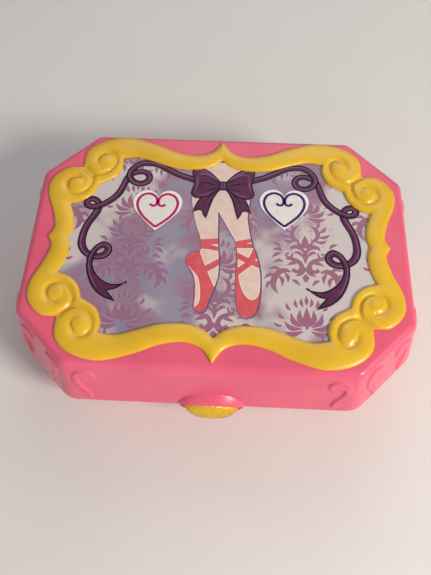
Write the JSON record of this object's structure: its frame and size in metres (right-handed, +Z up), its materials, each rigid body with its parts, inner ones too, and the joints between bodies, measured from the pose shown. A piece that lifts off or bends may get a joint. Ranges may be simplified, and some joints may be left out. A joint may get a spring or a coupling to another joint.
{
  "type": "wind-up music box",
  "caption": "Octagonal clamshell music box with scrolled lid frame, picture panel, push latch, fold-down dancer on a turntable, jewellery wells, and a key-wound comb movement.",
  "frame": {"origin": "middle of the footprint, on the surface that the case stands on", "axes": "+X along the case's length, -Y towards the latch button, +Z up"},
  "size_m": [0.206, 0.1616, 0.0655],
  "materials": {
    "case_pink": "semi-gloss moulded",
    "frame_yellow": "semi-gloss moulded",
    "printed_card": "printed and laminated",
    "sticker": "glossy vinyl",
    "lilac_plastic": "semi-gloss moulded",
    "mirror_sheet": "polished",
    "screw_steel": "plated",
    "foot_rubber": "matt",
    "gold_plastic": "metallic paint on a fine texture",
    "purple_plastic": "glossy",
    "white_plastic": "natural acetal",
    "spring_steel": "bright",
    "movement_plate": "zinc casting",
    "gear_brass": "machined",
    "dancer_skin": "painted",
    "tutu_tulle": "tulle"
  },
  "bodies": {
    "base": {"base_shell": "case_pink", "feet": "foot_rubber", "stage_tray": "lilac_plastic", "case_screws": "screw_steel", "hinge_pins": "screw_steel", "bedplate": "movement_plate", "movement_screws": "screw_steel", "barrel_bridge": "movement_plate", "cylinder_brackets": "movement_plate", "comb": "spring_steel", "comb_seat": "movement_plate", "comb_screws": "screw_steel", "click_spring": "spring_steel", "governor_frame": "movement_plate", "latch_spring": "spring_steel", "stop_spring": "spring_steel"},
    "lid": {"lid_shell": "case_pink", "lid_frame": "frame_yellow", "picture_panel": "printed_card", "heart_stickers": "sticker", "lid_liner": "lilac_plastic", "mirror": "mirror_sheet", "lid_screws": "screw_steel"},
    "latch": {"latch_button": "gold_plastic", "button_emblem": "purple_plastic", "latch_hook": "white_plastic"},
    "winding": {"winding_knob": "frame_yellow", "winding_arbor": "screw_steel"},
    "barrel": {"spring_barrel": "gear_brass", "barrel_cover": "gear_brass", "mainspring": "spring_steel", "spindle": "screw_steel", "turntable": "lilac_plastic", "dancer_pin": "screw_steel", "dancer_spring": "spring_steel"},
    "dancer": {"dancer_figure": "dancer_skin", "dancer_tutu": "tutu_tulle"},
    "cylinder": {"cylinder_arbor": "screw_steel", "note_cylinder": "gear_brass", "contrate_wheel": "gear_brass", "cylinder_gear": "gear_brass"},
    "governor": {"governor_arbor": "screw_steel", "governor_wheel": "gear_brass"},
    "fan": {"worm_fan": "white_plastic"},
    "stop": {"stop_rod": "white_plastic"}
  },
  "joints": [
    {"name": "lid_hinge", "type": "hinge", "parent": "base", "child": "lid", "pos_m": [0, 0.0773, 0.028], "axis": [-1, 0, 0], "range_deg": [0, 105]},
    {"name": "button_press", "type": "slide", "parent": "base", "child": "latch", "axis": [0, 1, 0], "range_m": [0, 0.003], "stiffness_N_per_m": 600, "springref_m": -0.001, "deforming": ["latch_spring"]},
    {"name": "knob_wind", "type": "hinge", "parent": "base", "child": "winding", "pos_m": [0, 0.004, 0.008], "axis": [0, 0, -1], "continuous": true},
    {"name": "barrel_spin", "type": "hinge", "parent": "base", "child": "barrel", "pos_m": [0, 0.004, 0.02], "axis": [0, 0, 1], "continuous": true},
    {"name": "dancer_rise", "type": "hinge", "parent": "barrel", "child": "dancer", "pos_m": [0, 0.004, 0.046], "axis": [-1, 0, 0], "range_deg": [0, 90]},
    {"name": "cylinder_spin", "type": "hinge", "parent": "base", "child": "cylinder", "pos_m": [0.03, 0.004, 0.02353], "axis": [1, 0, 0], "continuous": true},
    {"name": "governor_spin", "type": "hinge", "parent": "base", "child": "governor", "pos_m": [0.047, 0.0135, 0.02353], "axis": [1, 0, 0], "continuous": true},
    {"name": "fan_spin", "type": "hinge", "parent": "base", "child": "fan", "pos_m": [0.0477, 0.0191, 0.0235], "axis": [0, 0, 1], "continuous": true},
    {"name": "stop_slide", "type": "slide", "parent": "base", "child": "stop", "axis": [0, 0, 1], "range_m": [0, 0.003], "deforming": ["stop_spring"]}
  ],
  "couplings": [
    {"joint": "dancer_rise", "follows": "lid_hinge", "ratio": 0.857},
    {"joint": "stop_slide", "follows": "lid_hinge", "m_per_rad": 0.00163},
    {"joint": "cylinder_spin", "follows": "barrel_spin", "ratio": 3},
    {"joint": "governor_spin", "follows": "barrel_spin", "ratio": -12},
    {"joint": "fan_spin", "follows": "barrel_spin", "ratio": 60}
  ]
}
